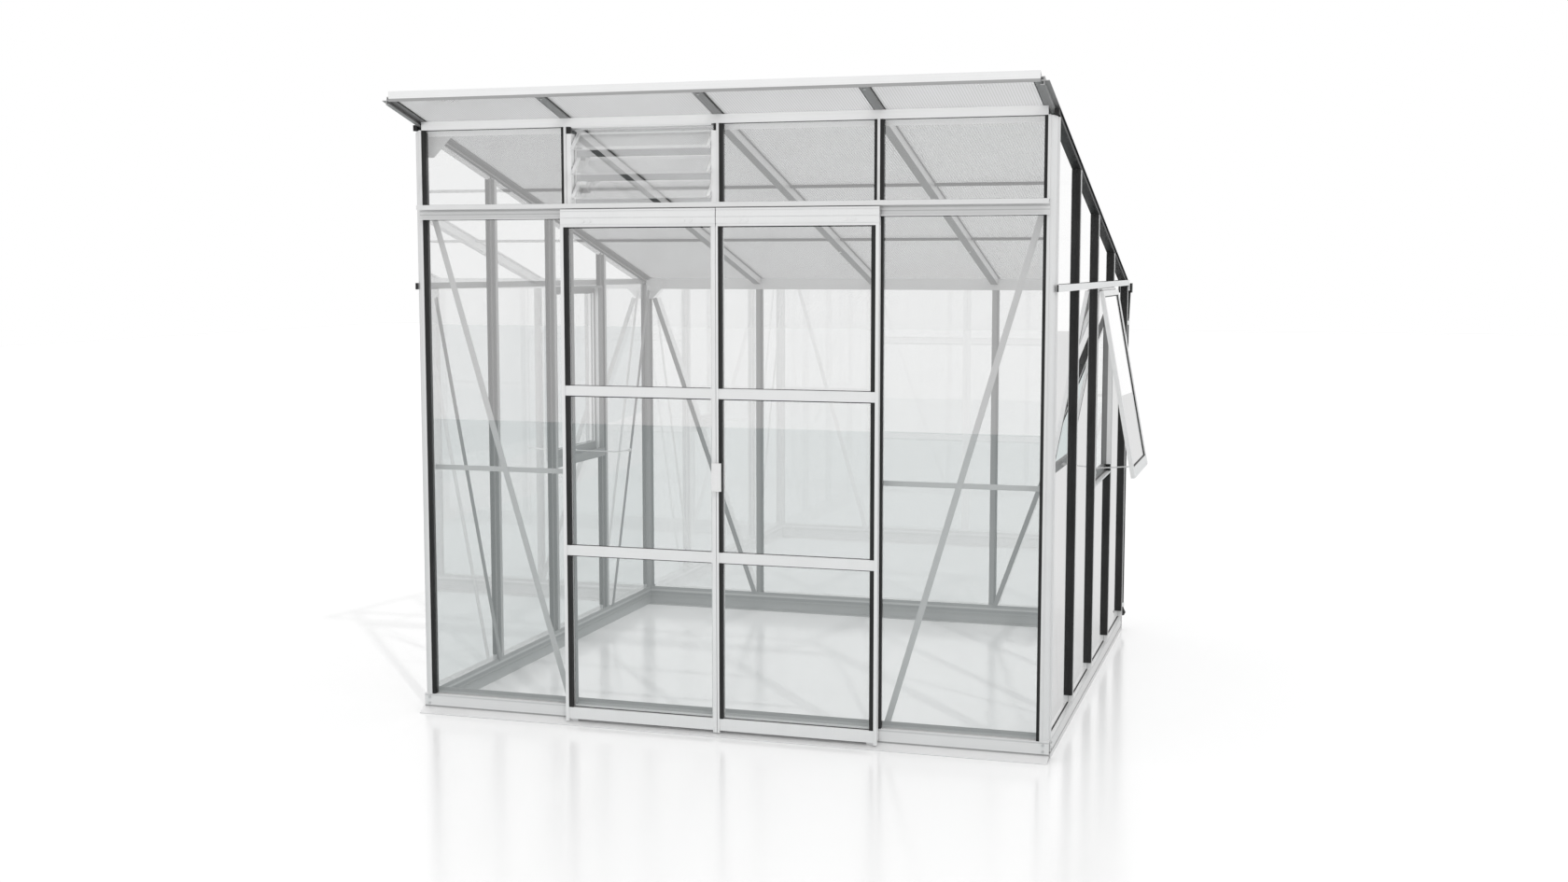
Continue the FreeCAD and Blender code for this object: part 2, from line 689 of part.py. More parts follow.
def bolts():
    heads = []
    for wall, outward in (("front", -Y_AXIS), ("rear", Y_AXIS)):
        for side in (-1, 1):
            for z in (34, 58):
                heads.append(hex_bolt(place(wall, side * 1252, SILL_FACE, z), outward))
    for wall, outward in (("left", -X_AXIS), ("right", X_AXIS)):
        for side in (-1, 1):
            for z in (34, 58):
                heads.append(hex_bolt(place(wall, side * 1176, SILL_FACE, z), outward))
    down = roof_place(0, 0, -1) - roof_place(0, 0, 0)
    for x in (-BAY, 0, BAY):
        for s in CROSS_BARS:
            heads.append(hex_bolt(roof_place(x - 8, s + 104, -RAFTER_DEPTH), down))
        heads.append(hex_bolt(roof_place(x, ROOF_FRONT + 26, -SEAT), down))
    for wall, side, top, width, height in GUSSETS:
        inward = Y_AXIS if wall == "front" else -Y_AXIS
        for inset, drop in ((14, 36), (width - 30, 14)):
            seat = place(wall, side * (GUSSET_EDGE - inset), GUSSET_BACK, top - drop)
            heads.append(hex_bolt(seat, inward))
    for side in (-1, 1):
        heads.append(hex_bolt(place("front", side * 922, BRACE_BACK - 3, 998), Y_AXIS))
    save("frame_bolts", heads)


# ---- louvre

def on_pivot(u, z, v=PIVOT_V):
    return place("front", u, v, z)


def blade_pivots():
    return [BLADE_LOW_Z + k * BLADE_PITCH for k in (2, 1, 0)]


def louvre_frame():
    channels = []
    for wall_edge, inward in ((LOUVRE_LEFT, 1), (LOUVRE_RIGHT, -1)):
        section = [(0, -GLASS), (0, 17), (CHANNEL, 17), (CHANNEL, -22), (11, -22), (11, -GLASS)]
        outline = [(inward * du, v) for du, v in section]
        channel = upright("front", wall_edge, outline, LOUVRE_FOOT, LOUVRE_TOP - 0.5)
        for z in blade_pivots():
            ends = [on_pivot(wall_edge + inward * u, z) for u in (-1, CHANNEL + 1)]
            channel = channel.cut(rod(ends[0], ends[1], PIVOT_R + RUN))
        channels.append(channel)
    inner = (LOUVRE_LEFT + CHANNEL, LOUVRE_RIGHT - CHANNEL)
    foot = slab("front", inner[0], inner[1], -22, 14, TRACK_TOP - 4, LOUVRE_FOOT + 1)
    head = slab("front", inner[0], inner[1], -22, 14, BEAM_FOOT - 5, BEAM_FOOT)
    return channels + [foot, head]


def tilt(shape, z):
    """Open a blade-mounted piece about the pivot at height z: top inward, foot outward."""
    turned = shape.copy()
    turned.rotate(on_pivot(0, z), X_AXIS, -BLADE_OPEN)
    return turned


def blade_clip(end, inward, z):
    """The clip on one end of a blade, with its pivot; the left one carries the crank ear and pin."""
    low = z - BLADE_CHORD / 2 + 4
    high = z + BLADE_CHORD / 2 - 4
    lip_start = end + CLIP if inward > 0 else end - 9
    pieces = [
        slab("front", end, end + CLIP, -9, 5, low, high),
        slab("front", lip_start, lip_start + 9, 0.2, 3, low, high),
        slab("front", lip_start, lip_start + 9, -7, -GLASS - 0.2, low, high),
    ]
    tip = LOUVRE_LEFT + PIVOT_INSET if inward > 0 else LOUVRE_RIGHT - PIVOT_INSET
    pieces.append(rod(on_pivot(min(tip, end + 1), z), on_pivot(max(tip, end + 1), z), PIVOT_R))
    if inward > 0:
        crank_v = PIVOT_V - CRANK
        pieces.append(slab("front", end, end + CLIP, crank_v - 6, -9, z - 6, z + 6))
        pieces.append(rod(on_pivot(end - 3.6, z, crank_v), on_pivot(end + 1, z, crank_v), LINK_PIN_R))
    return tilt(fuse(pieces), z)


def lever(start, z):
    """The hand lever on the lowest blade, ending in a cross knob."""
    arm = slab("front", start, start + 5, -40, -7, z + 22, z + 32)
    knob = rod(on_pivot(start + 5, z + 27, -34), on_pivot(start + 41, z + 27, -34), 5.5)
    return tilt(fuse([arm, knob]), z)


def link_bar(left, right):
    """The bar that ties the three cranks, bored for their pins."""
    angle = math.radians(BLADE_OPEN)
    pin_v = PIVOT_V - CRANK * math.cos(angle)
    drop = CRANK * math.sin(angle)
    heights = [z - drop for z in blade_pivots()]
    bar = slab("front", left, right, pin_v - 5, pin_v + 5, heights[-1] - 7, heights[0] + 7)
    for z in heights:
        bar = bar.cut(rod(on_pivot(left - 1, z, pin_v), on_pivot(right + 1, z, pin_v), LINK_PIN_R + RUN))
    return bar


def louvre():
    save("louvre_frame", louvre_frame())
    inner_left = LOUVRE_LEFT + CHANNEL + 4.5
    inner_right = LOUVRE_RIGHT - CHANNEL - 1.5
    half = BLADE_CHORD / 2
    for number, z in enumerate(blade_pivots(), 1):
        edges = (inner_left + CLIP + 0.5, inner_right - CLIP - 0.5)
        glass = slab("front", edges[0], edges[1], -GLASS, 0, z - half, z + half)
        save("louvre_blade_%d" % number, [tilt(glass, z)])
        ends = ((inner_left, 1), (inner_right - CLIP, -1))
        save("blade_clips_%d" % number, [blade_clip(end, inward, z) for end, inward in ends])
    save("louvre_lever", [lever(inner_left + CLIP + 1, blade_pivots()[-1])])
    save("louvre_link", [link_bar(inner_left - 3.5, inner_left - 0.6)])


# ---- doors

def door(side):
    """A sliding door: side -1 is the left leaf, +1 the right leaf."""
    name = "left_door" if side < 0 else "right_door"
    meet = side * DOOR_MEET
    jamb = side * (DOOR_MEET + DOOR_WIDTH)

    def span(from_meet0, from_meet1, v0, v1, z0, z1):
        edges = sorted((meet + side * from_meet0, meet + side * from_meet1))
        return slab("front", edges[0], edges[1], v0, v1, z0, z1)

    glass_back = DOOR_BACK + 6
    glass_face = glass_back + GLASS
    rail_back = glass_face + 0.3
    rail_face = DOOR_FACE - 4
    meet_nose = MEET_NOSE if side > 0 else MEET_NOSE + 7
    meet_face = DOOR_FACE if side > 0 else rail_face
    outer_nose = DOOR_WIDTH - DOOR_NOSE
    inner0 = MEET_STILE
    inner1 = DOOR_WIDTH - DOOR_STILE
    solids = []
    meeting = ((0, meet_nose), (0, inner0), meet_face)
    outer = ((outer_nose, DOOR_WIDTH), (inner1, DOOR_WIDTH), DOOR_FACE)
    for nose, body, face in (meeting, outer):
        solids.append(span(body[0], body[1], DOOR_BACK, glass_back - 0.3, DOOR_BASE, DOOR_HEAD))
        solids.append(span(nose[0], nose[1], glass_back - 0.3, face, DOOR_BASE, HEAD_PLATE[0]))
        solids.append(span(nose[0], nose[1], DOOR_BASE, face, DOOR_FOOT, DOOR_BASE))
    for z0, z1 in DOOR_RAILS + ((24, 70),):
        low = z0 + 4 if z0 > DOOR_BASE else DOOR_BASE
        solids.append(span(meet_nose, outer_nose, rail_back, rail_face, z0, z1))
        solids.append(span(inner0, inner1, DOOR_BACK, rail_back, low, z1 - 4))
    solids.append(span(inner0, inner1, DOOR_BACK, 43, HEAD_PLATE[0] + 4, DOOR_HEAD))
    head = span(0, DOOR_WIDTH, 43, 48, HEAD_PLATE[0], HEAD_PLATE[1])
    for z0 in HEAD_GROOVES:
        head = head.cut(span(-1, DOOR_WIDTH + 1, 46, 49, z0, z0 + HEAD_GROOVE_WIDTH))
    solids.append(head)
    axle_z = LEDGE_TOP + WHEEL_GAP + WHEEL_R

    def axle(u, v0, v1, radius):
        return rod(place("front", u, v0, axle_z), place("front", u, v1, axle_z), radius)

    for number, offset in enumerate((WHEEL_INSET, DOOR_WIDTH - WHEEL_INSET), 1):
        u = meet + side * offset
        solids.append(axle(u, 25, 43, AXLE_R))
        save(name + "_wheel_%d" % number, [axle(u, 26, 36, WHEEL_R).cut(axle(u, 25, 37, AXLE_R + RUN))])
        for du in (-14, 14):
            solids.append(hex_bolt(place("front", u + du, 48, 1978), -Y_AXIS))
    save(name + "_frame", solids)

    low_rail, high_rail = DOOR_RAILS
    heights = ((70, low_rail[0]), (low_rail[1], high_rail[0]), (high_rail[1], HEAD_PLATE[0]))
    panes = []
    for z0, z1 in heights:
        panes.append(span(meet_nose + 1.5, outer_nose - 1.5, glass_back, glass_face, z0 - 3.5, z1 + 3.5))
    save(name + "_glass", panes)

    strips = [(inner1, outer_nose)]
    if side > 0:
        strips.append((meet_nose, meet_nose + STRIP_WIDTH))
    bars = [span(u0, u1, glass_face, DOOR_FACE - 3, z0, z1) for u0, u1 in strips for z0, z1 in heights]
    save(name + "_strips", bars)


def doors():
    door(-1)
    door(1)
    grip = slab("front", -14, 23, 53, 66, 955, 1062)
    grip = grip.makeFillet(3.0, [e for e in grip.Edges if e.BoundBox.ZLength > 50])
    foot = slab("front", -14, -3, DOOR_FACE - 4, 53, 965, 1052)
    save("door_handle", [fuse([grip, foot])])


# ---- windows

def on_hinge(wall, u):
    return place(wall, u, WINDOW_PIVOT_V, WINDOW_PIVOT_Z)


def hinge_rod(wall, u0, u1, radius):
    """A round piece on the window's hinge line."""
    return rod(on_hinge(wall, u0), on_hinge(wall, u1), radius)


def stay_rod(wall, half, radius):
    """A round piece on the line where the stay is pinned to the leaf."""
    middle = SIDE_BAY / 2
    ends = [place(wall, middle + u, STAY_PIVOT_V, STAY_Z) for u in (-half, half)]
    return rod(ends[0], ends[1], radius)


def window_leaf(wall):
    """The closed leaf: two stiles, the foot with the stay's lugs, and the head with its knuckle."""
    low_u = WINDOW_EDGE + WINDOW_STILE
    high_u = SIDE_BAY - WINDOW_EDGE - WINDOW_STILE
    back = WINDOW_BACK
    face = WINDOW_FACE
    stiles = [
        slab(wall, low_u - WINDOW_STILE, low_u, back, face, WINDOW_FOOT, WINDOW_TOP),
        slab(wall, high_u, high_u + WINDOW_STILE, back, face, WINDOW_FOOT, WINDOW_TOP),
    ]
    foot = [slab(wall, low_u, high_u, back, face, WINDOW_FOOT, WINDOW_FOOT + 45), stay_rod(wall, 12, PIN_R)]
    for u in (SIDE_BAY / 2 - 12, SIDE_BAY / 2 + 9):
        foot.append(slab(wall, u, u + 3, STAY_PIVOT_V - 5, back, STAY_Z - 5, STAY_Z + 5))
    head = slab(wall, low_u, high_u, back, face, WINDOW_TOP - 24, WINDOW_TOP)
    middle_v = WINDOW_PIVOT_V
    web = slab(wall, 70, SIDE_BAY - 70, middle_v - 3, middle_v + 3, WINDOW_TOP - 1, WINDOW_TOP + 3)
    knuckle = hinge_rod(wall, 70, SIDE_BAY - 70, 5)
    bore = hinge_rod(wall, 60, SIDE_BAY - 60, PIN_R + RUN)
    return stiles + [fuse(foot), fuse([head, web, knuckle]).cut(bore)]


def window_stay(wall):
    """The holed stay bar with its bent, knobbed end."""
    middle = SIDE_BAY / 2
    tip = STAY_PIVOT_V - STAY_LENGTH
    kink = tip + 70
    straight = slab(wall, middle - 7, middle + 7, kink, STAY_PIVOT_V, STAY_Z - 2, STAY_Z + 2)
    bend = [(kink + 0.5, STAY_Z - 2), (kink + 0.5, STAY_Z + 2), (tip, STAY_Z + 12), (tip, STAY_Z + 8)]
    bent = rail(wall, middle - 7, middle + 7, bend)
    knob_ends = [place(wall, middle + u, tip + 2, STAY_Z + 10) for u in (-9, 9)]
    knob = rod(knob_ends[0], knob_ends[1], 7)
    stay = fuse([stay_rod(wall, 7, 5.5), straight, bent, knob]).cut(stay_rod(wall, 8, PIN_R + RUN))
    for k in range(1, 5):
        hole = place(wall, middle, STAY_PIVOT_V - 22 - 38 * k, STAY_Z - 20)
        stay = stay.cut(Part.makeCylinder(3, 40, hole, Z_AXIS))
    return stay


def window(wall, opening):
    """A top-hung window's leaf, glass and stay, opened by the given angle in degrees."""
    outward = place(wall, 0, 1, 0) - place(wall, 0, 0, 0)
    axis = outward.cross(Z_AXIS)

    def opened(shape, angle, about):
        turned = shape.copy()
        turned.rotate(about, axis, angle)
        return turned

    pivot = on_hinge(wall, 0)
    leaf = [opened(piece, opening, pivot) for piece in window_leaf(wall)]
    edge = WINDOW_EDGE + WINDOW_STILE + 0.5
    glass = slab(wall, edge, SIDE_BAY - edge, 27, 31, WINDOW_FOOT + 45.5, WINDOW_TOP - 24.5)
    stay_pivot = place(wall, SIDE_BAY / 2, STAY_PIVOT_V, STAY_Z)
    stay = opened(window_stay(wall), -opening * STAY_LAG, stay_pivot)
    return leaf, opened(glass, opening, pivot), opened(stay, opening, pivot)


def window_subframe(wall):
    """The fixed frame round a window: foot with its peg, two jambs, and the head with hinge ears."""
    far = SIDE_BAY
    jamb_foot = SUBFRAME_FOOT + 40
    head_foot = SUBFRAME_HEAD - 12
    drip = slab(wall, 19, far - 19, -GLASS - 3.5, 18, SUBFRAME_FOOT, SUBFRAME_FOOT + 8)
    ledge = slab(wall, LEDGE_HALF + 1, far - LEDGE_HALF - 1, -24, -GLASS - 3.5, SUBFRAME_FOOT, jamb_foot)
    peg = Part.makeCylinder(3, 8, place(wall, far / 2, -14, jamb_foot - 2), Z_AXIS)
    pieces = [fuse([ledge, drip, peg])]
    for u in (19, far - 31):
        pieces.append(slab(wall, u, u + 12, -20, 19, jamb_foot, head_foot))
    head = [slab(wall, 19, far - 19, -20, 19, head_foot, SUBFRAME_HEAD)]
    for u in (44, far - 60):
        head.append(hinge_rod(wall, u, u + 16, 4.8))
        head.append(slab(wall, u, u + 16, 18, WINDOW_PIVOT_V, WINDOW_PIVOT_Z, WINDOW_PIVOT_Z + 4.8))
    block = fuse(head)
    for pin in hinge_pins(wall):
        block = block.cut(pin)
    return pieces + [block]


def hinge_pins(wall):
    return [hinge_rod(wall, u, u + 74, PIN_R) for u in (36, SIDE_BAY - 110)]


def windows():
    for wall, opening in (("left", 0.0), ("right", WINDOW_OPEN)):
        leaf, glass, stay = window(wall, opening)
        save(wall + "_window_frame", leaf)
        save(wall + "_window_glass", [glass])
        save(wall + "_window_stay", [stay])

    save("window_subframes", window_subframe("left") + window_subframe("right"))
    save("window_hinge_pins", hinge_pins("left") + hinge_pins("right"))


os.makedirs("parts", exist_ok=True)
base()
frame()
beams()
roof()
glazing()
strips()
bracing()
rain_water()
bolts()
louvre()
doors()
windows()
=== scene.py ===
import math

import bmesh
import bpy
from mathutils import Matrix, Vector


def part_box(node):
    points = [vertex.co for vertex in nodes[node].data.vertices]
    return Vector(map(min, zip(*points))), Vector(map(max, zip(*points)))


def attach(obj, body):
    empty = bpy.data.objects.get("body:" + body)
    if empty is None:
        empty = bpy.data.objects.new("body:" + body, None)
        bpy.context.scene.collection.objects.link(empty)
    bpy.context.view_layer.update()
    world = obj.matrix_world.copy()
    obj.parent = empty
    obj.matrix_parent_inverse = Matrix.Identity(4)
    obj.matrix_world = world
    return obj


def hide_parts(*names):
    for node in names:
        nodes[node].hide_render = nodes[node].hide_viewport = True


# A walk-in lean-to greenhouse: pale extruded aluminium, horticultural glass,
# black glazing strips and a twin-wall roof. Metres, in the CAD frame.

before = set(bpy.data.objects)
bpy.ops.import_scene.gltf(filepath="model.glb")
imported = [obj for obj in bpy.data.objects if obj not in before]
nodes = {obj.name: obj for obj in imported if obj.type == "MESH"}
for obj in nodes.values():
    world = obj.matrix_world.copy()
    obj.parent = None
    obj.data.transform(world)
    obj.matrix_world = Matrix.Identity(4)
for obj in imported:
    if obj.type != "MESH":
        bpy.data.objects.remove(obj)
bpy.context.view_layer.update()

# ---- driving sizes, shared with the CAD model

BAY = 0.622
SIDE_BAY = 0.601
CORNER = 0.014
HALF_X = 2 * BAY
HALF_Y = 2 * SIDE_BAY
GLASS_X = HALF_X + CORNER
GLASS_Y = HALF_Y + CORNER
STRIP_EDGE = 0.018
SILL_TOP = 0.072
TRACK_FOOT = 1.989
TRACK_TOP = 2.046
BEAM_FOOT = 2.340
REAR_BEAM_FOOT = 1.692
RAIL_FACE = 0.0195
RAIL_Z = (1.714, 1.740)

ROOF_SLOPE = math.radians(14.6)
ROOF_Z = 2.374
ROOF_FRONT = -0.262
ROOF_REAR = 2.546
SHEET = 0.010
SHEET_GAP = 0.0025
RAFTER_HALF = 0.018
EDGE_INSET = 0.021

DOOR_MEET = 0.0015
DOOR_WIDTH = 0.6315
DOOR_GLASS_FACE = 0.034
DOOR_STILE = 0.030
DOOR_PANES = ((0.070, 0.678), (0.718, 1.306), (1.345, 1.956))

WINDOW_PIVOT = (0.026, 1.706)
WINDOW_GLASS = (0.040, 0.561, 0.936, 1.6765)
WINDOW_GLASS_FACE = 0.031
RIGHT_WINDOW_OPEN = math.radians(10.5)

SIN = math.sin(ROOF_SLOPE)
COS = math.cos(ROOF_SLOPE)
UP = Vector((0, 0, 1))
SIDEWAYS = Vector((1, 0, 0))

# Twin-wall sheet: pitch of its webs, thickness of its skins, the share of a flute that a rib
# takes, and how much of the milky colour is left on the underside behind the front glass, as painted
# shade
FLUTE = 0.0105
SKIN = 0.0006
RIB_SHARE = 0.34
INDOOR_MILK_SHADE = 0.30


# ---- shader graphs

class Tree:
    """A small wrapper that keeps shader graphs readable."""

    def __init__(self, name):
        self.material = bpy.data.materials.new(name)
        self.material.use_nodes = True
        self.nodes = self.material.node_tree.nodes
        self.links = self.material.node_tree.links
        self.nodes.clear()
        self.output = self.nodes.new("ShaderNodeOutputMaterial")

    def add(self, kind, **settings):
        node = self.nodes.new("ShaderNode" + kind)
        for key, value in settings.items():
            setattr(node, key, value)
        return node

    def put(self, node, socket, value):
        """Set a socket to a plain value, or link it from another node's output."""
        target = node.inputs[socket]
        if hasattr(value, "is_output"):
            self.links.new(value, target)
        else:
            target.default_value = value

    def math(self, operation, a, b=None, clamp=False):
        node = self.add("Math", operation=operation, use_clamp=clamp)
        self.put(node, 0, a)
        if b is not None:
            self.put(node, 1, b)
        return node.outputs[0]

    def point(self, scale=(1, 1, 1)):
        """The place on the object, in metres, stretched by a scale."""
        coordinates = self.add("TexCoord")
        mapping = self.add("Mapping")
        self.links.new(coordinates.outputs["Object"], mapping.inputs["Vector"])
        mapping.inputs["Scale"].default_value = scale
        return mapping.outputs[0]

    def parts(self, vector):
        node = self.add("SeparateXYZ")
        self.links.new(vector, node.inputs[0])
        return node.outputs

    def noise(self, vector, scale, detail, roughness):
        node = self.add("TexNoise")
        self.put(node, "Vector", vector)
        self.put(node, "Scale", scale)
        self.put(node, "Detail", detail)
        self.put(node, "Roughness", roughness)
        return node.outputs["Fac"]

    def ramp(self, value, stops):
        """A colour ramp through (position, colour) stops."""
        node = self.add("ValToRGB")
        self.links.new(value, node.inputs[0])
        elements = node.color_ramp.elements
        while len(elements) < len(stops):
            elements.new(0.5)
        for element, (position, colour) in zip(elements, stops):
            element.position = position
            element.color = (*colour, 1.0)
        return node.outputs["Color"]

    def shade(self, colour, level):
        """Multiply a colour by a level."""
        node = self.add("VectorMath", operation="MULTIPLY")
        self.links.new(colour, node.inputs[0])
        self.put(node, 1, level)
        return node.outputs[0]

    def span(self, value, low, high):
        """Map 0 to 1 onto low to high."""
        node = self.add("MapRange")
        self.links.new(value, node.inputs["Value"])
        node.inputs["To Min"].default_value = low
        node.inputs["To Max"].default_value = high
        return node.outputs[0]

    def bump(self, height, strength, distance):
        node = self.add("Bump")
        self.links.new(height, node.inputs["Height"])
        node.inputs["Strength"].default_value = strength
        node.inputs["Distance"].default_value = distance
        return node.outputs[0]

    def mix(self, share, first, second):
        node = self.add("MixShader")
        self.put(node, 0, share)
        self.put(node, 1, first)
        self.put(node, 2, second)
        return node.outputs[0]

    def front_faces(self):
        """1 on the side that faces out of the solid, 0 on the way out of it."""
        return self.math("SUBTRACT", 1.0, self.add("NewGeometry").outputs["Backfacing"])

    def finish(self, shader):
        self.links.new(shader, self.output.inputs["Surface"])
        return self.material


def grey(value, warm=0.0):
    """A grey colour; warm adds red and takes as much blue away."""
    return (value + warm, value, value - warm)


# ---- materials

# Where the metalwork's tone changes, for its painted shade
PAST_GLASS = 0.0005
FRONT_DEPTH = 0.05
INSIDE_DEPTH = 0.02
FASCIA_STEP = ROOF_Z - ROOF_FRONT * SIN + 0.002
FACES_INWARD = -0.1
FACES_ACROSS = 0.5
FACES_DOWN = -0.85

# Shares of a mask, tones, and the painted shade lines in the grooves: (low, high) in height, then how
# much darker
ACROSS_SHARE = 0.35
OVERHANG_SHARE = 0.35
SILL_TONE = 0.73
SILL_SHADE_LINES = (((0.018, 0.025), 0.45), ((0.063, 0.068), 0.14))
TRACK_TONE = 0.71
TRACK_SHADE_LINES = (((2.0195, 2.0265), 0.24), ((2.006, 2.0105), 0.22))

# Painted shade on the sill's inner profile: height as a share of a tenth of a metre, then brightness
TENTHS = 10.0
INNER_SILL_SHADE = (
    (0.0, 0.40), (0.50, 0.28), (0.55, 0.20), (0.66, 0.20),
    (0.68, 0.42), (0.76, 0.42), (0.78, 0.25),
)

# Grain of extruded metal, and how far its gloss strays to either side
GRAIN_ACROSS = 420.0
GRAIN_ALONG = 3.0
LINE_SHARE = 0.6
CLOUD_SHARE = 0.4
GLOSS_SPREAD = 0.07

# Glass: its tint, its mirror index, and how it mirrors more at grazing angles
CLEAR_TINT = (0.881, 0.885, 0.885)
GLASS_INDEX = 2.27
GRAZING_POWER = 6.0
GRAZING_GAIN = 2.0


def outside_mask(tree):
    """1 on the faces outside the glass line, 0 on the legs inside it, where the materials paint shade.
    """
    x, y, _ = tree.parts(tree.point())
    past_x = tree.math("GREATER_THAN", tree.math("ABSOLUTE", x), GLASS_X + PAST_GLASS)
    past_y = tree.math("GREATER_THAN", tree.math("ABSOLUTE", y), GLASS_Y + PAST_GLASS)
    return tree.math("MAXIMUM", past_x, past_y)


def outward_mask(tree):
    """0 on the faces of a side wall's pieces that look in at the middle of the house, which get painted
    shade, 1 on the rest.
    """
    x = tree.parts(tree.point())[0]
    normal_x = tree.parts(tree.add("NewGeometry").outputs["Normal"])[0]
    return tree.math("GREATER_THAN", tree.math("MULTIPLY", x, normal_x), FACES_INWARD)


def front_mask(tree):
    """1 on what hangs on the front wall; the braces elsewhere get painted shade."""
    y = tree.parts(tree.point())[1]
    return tree.math("LESS_THAN", y, -GLASS_Y + FRONT_DEPTH)


def side_bar_mask(tree):
    """Painted shade on the side bars: 1 outside the glass, a little on the inner faces that look across
    the house, 0 on the rest.
    """
    normal_x = tree.parts(tree.add("NewGeometry").outputs["Normal"])[0]
    across = tree.math("GREATER_THAN", tree.math("ABSOLUTE", normal_x), FACES_ACROSS)
    return tree.math("MAXIMUM", outside_mask(tree), tree.math("MULTIPLY", across, ACROSS_SHARE))


def level_band(tree, low, high):
    """1 between two heights."""
    z = tree.parts(tree.point())[2]
    return tree.math("MULTIPLY", tree.math("GREATER_THAN", z, low), tree.math("LESS_THAN", z, high))


def with_shade_lines(tree, lines, tone):
    """A tone with painted shade lines, darker between pairs of heights."""
    level = tone
    for (low, high), depth in lines:
        kept = tree.math("SUBTRACT", 1.0, tree.math("MULTIPLY", level_band(tree, low, high), depth))
        level = tree.math("MULTIPLY", level, kept)
    return level


def sill_level(tree):
    """The sills' brightness: two painted shade lines in the grooves outside the glass, and painted shade
    in the shape of a ribbed profile inside it.
    """
    z = tree.parts(tree.point())[2]
    stops = [(place, grey(tone)) for place, tone in INNER_SILL_SHADE]
    rib = tree.ramp(tree.math("MULTIPLY", z, TENTHS), stops)
    outside = outside_mask(tree)
    inner = tree.math("MULTIPLY", tree.math("SUBTRACT", 1.0, outside), rib)
    return tree.math("ADD", tree.math("MULTIPLY", outside, with_shade_lines(tree, SILL_SHADE_LINES, SILL_TONE)), inner)


def track_level(tree):
    """The door track's brightness: two painted shade lines in its grooves."""
    return with_shade_lines(tree, TRACK_SHADE_LINES, TRACK_TONE)


def fascia_shade_mask(tree):
    """0 on the fascia's set-back foot, which gets painted shade, 1 above it."""
    return tree.math("GREATER_THAN", tree.parts(tree.point())[2], FASCIA_STEP)


def underside_shade_mask(tree):
    """Painted shade: 1 on the rafters' faces that look down inside the front wall, less in the overhang.
    """
    normal_z = tree.parts(tree.add("NewGeometry").outputs["Normal"])[2]
    faces_down = tree.math("LESS_THAN", normal_z, FACES_DOWN)
    inside = tree.math("GREATER_THAN", tree.parts(tree.point())[1], -GLASS_Y + INSIDE_DEPTH)
    return tree.math("MULTIPLY", faces_down, tree.span(inside, OVERHANG_SHARE, 1.0))


def extruded(name, grain_axis, tone, other_tone=None, mask=None, metallic=0.35, roughness=0.40):
    """Extruded aluminium: die lines along its length, faint oxide clouds and uneven gloss.

    tone is its brightness where the mask is 1, or everywhere without one; other_tone is the rest.
    The masks and the tone functions paint shade onto the metal. A function given as tone works out the
    brightness itself.
    """
    tree = Tree(name)
    stretch = [GRAIN_ACROSS, GRAIN_ACROSS, GRAIN_ACROSS]
    stretch[grain_axis] = GRAIN_ALONG
    lines = tree.noise(tree.point(tuple(stretch)), scale=1.0, detail=2.0, roughness=0.6)
    clouds = tree.noise(tree.point(), scale=9.0, detail=4.0, roughness=0.55)
    line_part = tree.math("MULTIPLY", lines, LINE_SHARE)
    cloud_part = tree.math("MULTIPLY", clouds, CLOUD_SHARE)
    blend = tree.math("ADD", line_part, cloud_part)
    if callable(tone):
        level = tone(tree)
    elif mask is None:
        level = (tone, tone, tone)
    else:
        level = tree.span(mask(tree), other_tone, tone)
    mottle = tree.ramp(blend, [(0.25, grey(0.95)), (0.75, grey(1.03, -0.002))])
    shader = tree.add("BsdfPrincipled")
    tree.put(shader, "Base Color", tree.shade(mottle, level))
    tree.put(shader, "Metallic", metallic)
    tree.put(shader, "Roughness", tree.span(blend, roughness - GLOSS_SPREAD, roughness + GLOSS_SPREAD))
    tree.put(shader, "Normal", tree.bump(lines, strength=0.06, distance=0.0004))
    return tree.finish(shader.outputs[0])


def black_strip(name, tone):
    """Matt black extruded strip: fine grain and a slight bloom on its faces."""
    tree = Tree(name)
    grain = tree.noise(tree.point((900, 900, 900)), scale=1.0, detail=2.0, roughness=0.5)
    bloom = tree.noise(tree.point((1, 1, 0.4)), scale=12.0, detail=4.0, roughness=0.6)
    shader = tree.add("BsdfPrincipled")
    colour = tree.ramp(bloom, [(0.3, grey(tone * 0.8)), (0.75, grey(tone * 1.4))])
    tree.put(shader, "Base Color", colour)
    tree.put(shader, "Specular IOR Level", 0.22)
    tree.put(shader, "Roughness", tree.span(grain, 0.44, 0.58))
    tree.put(shader, "Normal", tree.bump(grain, strength=0.12, distance=0.0003))
    return tree.finish(shader.outputs[0])


